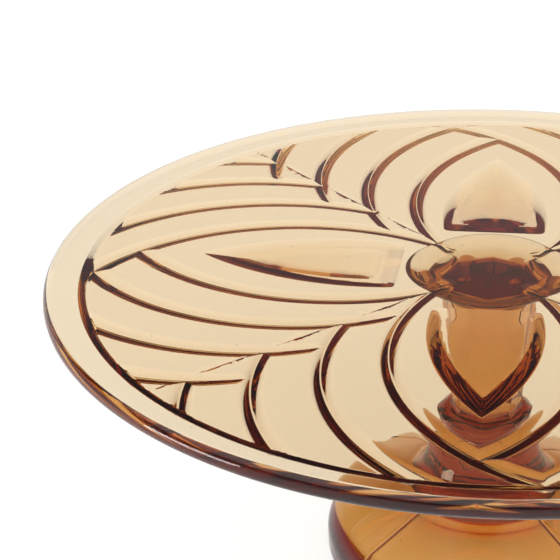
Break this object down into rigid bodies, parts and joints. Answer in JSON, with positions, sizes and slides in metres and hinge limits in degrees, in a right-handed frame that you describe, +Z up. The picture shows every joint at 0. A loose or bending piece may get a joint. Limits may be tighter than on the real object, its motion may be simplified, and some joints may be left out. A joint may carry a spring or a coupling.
{
  "type": "footed glass plate",
  "caption": "Round flat amber pressed-glass plate with petal relief under it, raised on a short eight-sided stem and a round domed foot with a trumpet-shaped neck.",
  "frame": {"origin": "on the axis, on the surface that the foot rests on", "axes": "+Z up along the axis of the stem; the four petals point along +X, +Y, -X and -Y"},
  "size_m": [0.21, 0.21, 0.08],
  "materials": {
    "amber_plate": "clear amber pressed glass, fire-polished",
    "amber_stem": "clear amber pressed glass, fire-polished",
    "amber_foot": "clear amber pressed glass, ground resting ring"
  },
  "bodies": {
    "root": {"plate": "amber_plate", "stem": "amber_stem", "foot": "amber_foot"}
  },
  "joints": []
}
